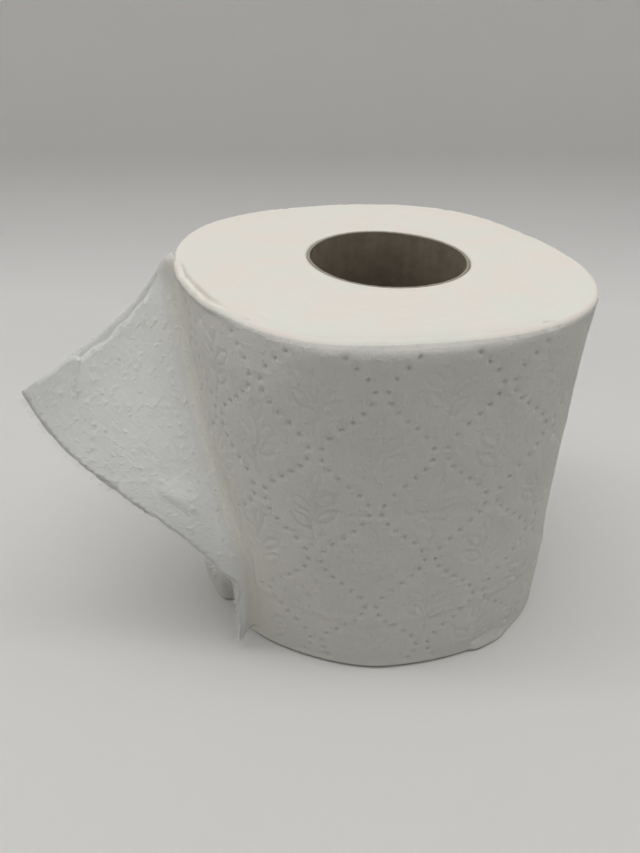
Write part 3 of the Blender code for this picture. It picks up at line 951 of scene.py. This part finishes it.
def make_ply(name, ply):
    """One ply of the loose end: 0 is the rear one, and 1 the front one."""
    torn_side = [(torn_back(up, ply), ROLL_WIDTH * up) for up in rows]
    top_length = loose_length(1.0) + fold_reach(1.0)
    foot_length = loose_length(0.0) + fold_reach(0.0)
    top_side = [(top_length * step / TOP_STEPS, ROLL_WIDTH - ply * slid_back(1 - step / TOP_STEPS))
                for step in range(1, TOP_STEPS)]
    root_side = [(loose_length(up) + fold_reach(up), ROLL_WIDTH * up) for up in reversed(rows)]
    foot_side = [(foot_length * step / FOOT_STEPS, 0.0) for step in range(FOOT_STEPS - 1, 0, -1)]

    def within(x, y, margin):
        """Whether a place is on this ply and this far inside its edges."""
        up = y / ROLL_WIDTH
        top = ROLL_WIDTH - 0.0026 * ply
        return margin < y < top - margin and torn_back(up, ply) + margin < x < loose_length(up) - margin

    pins = [(x - PATTERN_SHIFT, y) for x, y in pin_places(-0.01, 0.07) if within(x - PATTERN_SHIFT, y, 0.0014)]
    lines = [[Vector((point.x - PATTERN_SHIFT, point.y)) for point in line] for line in sprig_lines(-0.01, 0.07)]
    lines = [line for line in lines if all(within(point.x, point.y, 0.0016) for point in line)]
    flat, faces = flat_web(torn_side + top_side + root_side + foot_side, pins, lines, [], LOOSE_PITCH)
    depths = pressed(flat, faces, pins, lines, loose_tissue, PLY_SLACK, PLY_CRUMPLE)
    points = [on_ply(x, y, ply, depth) for (x, y), depth in zip(flat, depths)]
    # Near the crease the colour takes on a painted warm shade, and less light passes through, by this share.
    shares = [max(0.0, min(1.0, 1 - (loose_length(y / ROLL_WIDTH) - x) / TINT_REACH * 2)) for x, y in flat]
    made = new_piece(name, points, faces, [loose_tissue], None, [tuple(point) for point in flat], shares)
    thick = made.modifiers.new("thickness", "SOLIDIFY")
    thick.thickness = PLY_THICKNESS
    thick.offset = 0.0
    bpy.context.view_layer.update()
    mesh = bpy.data.meshes.new_from_object(made.evaluated_get(bpy.context.evaluated_depsgraph_get()))
    made.modifiers.clear()
    made.data = mesh
    mesh.name = name
    close_outwards(made)
    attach(made, "root")
    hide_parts("tissue_paper")
    # Fibres stand out of the tear, at its places and depths.
    return list(zip(torn_side, depths))


tears = [make_ply("loose_rear_ply", 0), make_ply("loose_front_ply", 1)]


# Loose fibres
# Torn and sawn tissue has wood fibres standing out of its edges. Each is a bent hair 1 or 2 mm long.
# Real ones are 0.03 mm thick. Here they are twice that, so that they show.

FIBRE_LENGTH = 0.0016
FIBRE_RADIUS = 0.00003
FIBRES_AT_TEAR = 3
TEAR_SPREAD = 0.0009
FIBRES_AT_RIM = 190
STRAY_SEED = 11

hairs = bpy.data.node_groups.new("standing_fibres", "GeometryNodeTree")
for name, kind in (("Roots", "Geometry"), ("Length", "Float"), ("Radius", "Float"), ("Seed", "Int"),
                   ("Fibre", "Material")):
    hairs.interface.new_socket(name, in_out="INPUT", socket_type="NodeSocket" + kind)
hairs.interface.new_socket("Fibres", in_out="OUTPUT", socket_type="NodeSocketGeometry")
given = add_node(hairs, "NodeGroupInput").outputs
bent = add_node(hairs, "GeometryNodeCurveQuadraticBezier", {"Resolution": 4, "Start": (0.0, 0.0, 0.0),
                                                            "Middle": (0.55, 0.0, 0.28),
                                                            "End": (1.0, 0.1, 0.0)}).outputs[0]
sized = add_node(hairs, "GeometryNodeTransform", {"Geometry": bent, "Scale": given["Length"]}).outputs[0]
round_hair = add_node(hairs, "GeometryNodeCurvePrimitiveCircle", {"Resolution": 4,
                                                                  "Radius": given["Radius"]}).outputs[0]
hair = add_node(hairs, "GeometryNodeCurveToMesh", {"Curve": sized, "Profile Curve": round_hair,
                                                   "Fill Caps": True}).outputs[0]
way = add_node(hairs, "GeometryNodeInputNamedAttribute", {"Name": "way"}, data_type="FLOAT_VECTOR").outputs["Attribute"]
turn = add_node(hairs, "FunctionNodeRandomValue", {"Max": tau, "Seed": given["Seed"]}).outputs[1]
spun = add_node(hairs, "FunctionNodeAxisAngleToRotation", {"Axis": (1.0, 0.0, 0.0), "Angle": turn}).outputs[0]
aimed = add_node(hairs, "FunctionNodeAlignRotationToVector", {"Vector": way}, axis="X").outputs[0]
turned = add_node(hairs, "FunctionNodeRotateRotation", {"Rotation": aimed, "Rotate By": spun},
                  rotation_space="LOCAL").outputs[0]
share = add_node(hairs, "FunctionNodeRandomValue", {"Min": 0.35, "Max": 1.3, "Seed": given["Seed"]}).outputs[1]
standing = add_node(hairs, "GeometryNodeInstanceOnPoints", {"Points": given["Roots"], "Instance": hair,
                                                            "Rotation": turned, "Scale": share}).outputs[0]
whole = add_node(hairs, "GeometryNodeRealizeInstances", {"Geometry": standing}).outputs[0]
finished = add_node(hairs, "GeometryNodeSetMaterial", {"Geometry": whole, "Material": given["Fibre"]}).outputs[0]
add_node(hairs, "NodeGroupOutput", {"Fibres": finished})

# A wood fibre is a clear white hair, and a tuft of them looks like frost.
fibre, tree, out = new_material("bleached_wood_fibre")
place = add_node(tree, "ShaderNodeTexCoord").outputs["Object"]
along_fibre = add_node(tree, "ShaderNodeTexNoise", {"Vector": place, "Scale": 1 / 0.0008, "Detail": 2.0}).outputs["Fac"]
white = add_node(tree, "ShaderNodeMix", {"Factor": along_fibre, "A": linear("#ecebe6"), "B": linear("#f8f8f5")},
                 data_type="RGBA").outputs["Result"]
shader = add_node(tree, "ShaderNodeBsdfPrincipled", {"Base Color": white, "Roughness": 0.7,
                                                     "Specular IOR Level": 0.3}).outputs[0]
tree.links.new(shader, out.inputs["Surface"])


def stand_fibres(name, roots, seed):
    """Fibres on these roots, each a place and the direction that the fibre sets out in."""
    made = scratch_object(name, [], [], [])
    made.data.from_pydata([tuple(place) for place, way in roots], [], [])
    ways = made.data.attributes.new("way", "FLOAT_VECTOR", "POINT")
    ways.data.foreach_set("vector", [value for place, way in roots for value in way])
    modifier = made.modifiers.new("fibres", "NODES")
    modifier.node_group = hairs
    set_inputs(modifier, {"Length": FIBRE_LENGTH, "Radius": FIBRE_RADIUS, "Seed": seed, "Fibre": fibre})
    mesh = bpy.data.meshes.new_from_object(made.evaluated_get(bpy.context.evaluated_depsgraph_get()))
    made.modifiers.clear()
    made.data = mesh
    mesh.name = name
    close_outwards(made)
    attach(made, "root")
    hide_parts("tissue_paper")


# Every fibre strays its own way, and the seed keeps that the same each time.
noise.seed_set(STRAY_SEED)
roots = []
for ply, tear in enumerate(tears):
    for step, ((x, y), depth) in enumerate(tear[1:-1]):
        out_of = (on_ply(x, y, ply, depth) - on_ply(x + 0.001, y, ply, depth)).normalized()
        for number in range(FIBRES_AT_TEAR):
            stray = noise.noise_vector(Vector((step * 0.73, number * 5.1, ply * 11.7)))
            beside = on_ply(x + 0.0002, y + TEAR_SPREAD * (number / FIBRES_AT_TEAR - 0.5), ply, depth)
            roots.append((beside, (out_of + stray * 1.3).normalized()))
stand_fibres("torn_edge_fibres", roots, 3)
roots = []
for number in range(FIBRES_AT_RIM):
    angle = tau * number / FIBRES_AT_RIM + 0.05 * noise.noise(Vector((number * 0.37, 0.0, 0.0)))
    along = (angle - CREASE_TOP_ANGLE) % tau * ROLL_RADIUS
    sunk = END_ROUND * (0.30 + 0.25 * noise.noise(Vector((number * 1.7, 4.0, 0.0))))
    here = wall_point(ROLL_WIDTH - END_ROUND * 0.3, along, sunk + rim_wear(along) * 0.5)
    stray = noise.noise_vector(Vector((number * 0.91, 7.3, 0.0)))
    along_rim = facing(angle + pi / 2) * (1 if number % 2 else -1)
    roots.append((here, (along_rim + facing(angle) * 0.5 + stray).normalized()))
stand_fibres("rim_fibres", roots, 8)


# Floor and backdrop
# One sheet of matt paper that lies under the roll and sweeps up behind it.

FLOOR_HALF_WIDTH = 2.5
FLOOR_FRONT = -1.5
SWEEP_START = 0.185
SWEEP_RADIUS = 0.07
SWEEP_STEPS = 12
BACKDROP_TOP = 2.2

profile = [(FLOOR_FRONT, 0.0), (-0.4, 0.0), (0.0, 0.0), (SWEEP_START, 0.0)]
for step in range(1, SWEEP_STEPS + 1):
    bend = pi / 2 * step / SWEEP_STEPS
    profile.append((SWEEP_START + SWEEP_RADIUS * sin(bend), SWEEP_RADIUS * (1 - cos(bend))))
profile.append((SWEEP_START + SWEEP_RADIUS, BACKDROP_TOP))
points = []
for y, z in profile:
    points += [(-FLOOR_HALF_WIDTH, y, z), (FLOOR_HALF_WIDTH, y, z)]
faces = [(2 * step, 2 * step + 1, 2 * step + 3, 2 * step + 2) for step in range(len(profile) - 1)]
# Uncoated paper has no shine. The part that stands up behind is painted a little lighter than the floor, as painted
# light where the overhead lamps reach it less.
paper, tree, out = new_material("matt_backdrop_paper")
place = add_node(tree, "ShaderNodeTexCoord").outputs["Object"]
grain = add_node(tree, "ShaderNodeTexNoise", {"Vector": place, "Scale": 9.0, "Detail": 2.0}).outputs["Fac"]
height = add_node(tree, "ShaderNodeSeparateXYZ", {"Vector": place}).outputs["Z"]
upright = add_node(tree, "ShaderNodeMapRange", {"Value": height, "From Min": 0.03, "From Max": 0.12}).outputs[0]
low = add_node(tree, "ShaderNodeMix", {"Factor": grain, "A": linear("#d9d8d6"), "B": linear("#dddcda")},
               data_type="RGBA").outputs["Result"]
colour = add_node(tree, "ShaderNodeMix", {"Factor": upright, "A": low, "B": linear("#e6e5e3")},
                  data_type="RGBA").outputs["Result"]
shader = add_node(tree, "ShaderNodeBsdfPrincipled", {"Base Color": colour, "Roughness": 0.9,
                                                     "Specular IOR Level": 0.1}).outputs[0]
tree.links.new(shader, out.inputs["Surface"])
backdrop = new_piece("backdrop", points, faces, [paper])


# Camera
# It stands before the roll, a little to its left, and looks down on it.

CAMERA_PLACE = Vector((-0.0135, -0.1757, 0.1593))
CAMERA_DOWN = radians(32.9)
CAMERA_LENS = 29.75
FRAME_HEIGHT = 36

camera_data = bpy.data.cameras.new("camera")
camera_data.sensor_fit = "VERTICAL"
camera_data.sensor_height = FRAME_HEIGHT
camera_data.lens = CAMERA_LENS
camera_data.clip_start = 0.01
camera = bpy.data.objects.new("camera", camera_data)
camera.location = roll_middle + CAMERA_PLACE
camera.rotation_euler = (pi / 2 - CAMERA_DOWN, 0.0, 0.0)
bpy.context.scene.collection.objects.link(camera)
bpy.context.scene.camera = camera


# Lamps
# A long strip lamp and a wide panel, both overhead, and two weak panels, one before the roll and one behind it at the
# left. Each has its length and width, its watts, its place and what it is aimed at.

LAMPS = (("strip_lamp", 4.0, 0.4, 11.0, (0.0, 0.0, 1.5), (0.0, 0.0, 0.0)),
         ("ceiling_panel", 2.2, 2.2, 21.4, (0.0, 0.0, 1.7), (0.0, 0.0, 0.0)),
         ("front_panel", 2.0, 1.0, 1.4, (0.0, -1.0, 1.4), (0.0, -0.04, 0.0)),
         ("left_panel", 1.2, 0.6, 7.0, (-1.3, 0.6, 0.8), (0.0, 0.0, 0.05)))
ROOM_LIGHT = 0.02

for name, size, size_y, watts, place, aim in LAMPS:
    lamp_data = bpy.data.lights.new(name, "AREA")
    lamp_data.shape = "RECTANGLE"
    lamp_data.size = size
    lamp_data.size_y = size_y
    lamp_data.energy = watts
    lamp = bpy.data.objects.new(name, lamp_data)
    lamp.location = place
    lamp.rotation_euler = (Vector(aim) - Vector(place)).to_track_quat("-Z", "Y").to_euler()
    bpy.context.scene.collection.objects.link(lamp)

world = bpy.data.worlds.new("room")
world.use_nodes = True
world.node_tree.nodes["Background"].inputs["Color"].default_value = (0.95, 0.97, 1.0, 1.0)
world.node_tree.nodes["Background"].inputs["Strength"].default_value = ROOM_LIGHT
bpy.context.scene.world = world
bpy.context.scene.view_settings.view_transform = "Standard"
